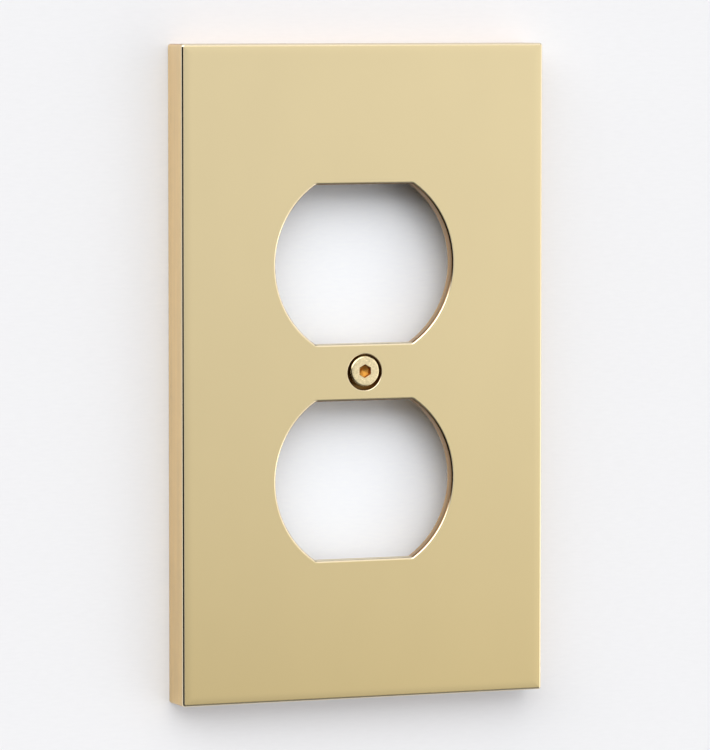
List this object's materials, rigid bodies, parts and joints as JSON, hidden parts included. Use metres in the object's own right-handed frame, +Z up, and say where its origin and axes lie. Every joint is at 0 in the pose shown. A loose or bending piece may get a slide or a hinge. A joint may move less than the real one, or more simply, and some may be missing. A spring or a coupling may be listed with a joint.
{
  "type": "duplex outlet wall plate",
  "caption": "Thick rectangular brass cover plate with flat-sided round openings for an electrical outlet, hollow behind, fixed by a hex socket screw at its middle.",
  "frame": {"origin": "middle of the plate on the wall's surface, where the axis of the fixing screw's hole meets the plane of the back rim", "axes": "+Y into the wall, along the fixing screw; +Z up the plate's long side; +X to the right as seen by someone facing the plate"},
  "size_m": [0.0698, 0.0147, 0.118],
  "materials": {
    "plate_brass": "satin",
    "screw_brass": "satin"
  },
  "bodies": {
    "root": {"wall_plate": "plate_brass", "plate_screw": "screw_brass"}
  },
  "joints": []
}
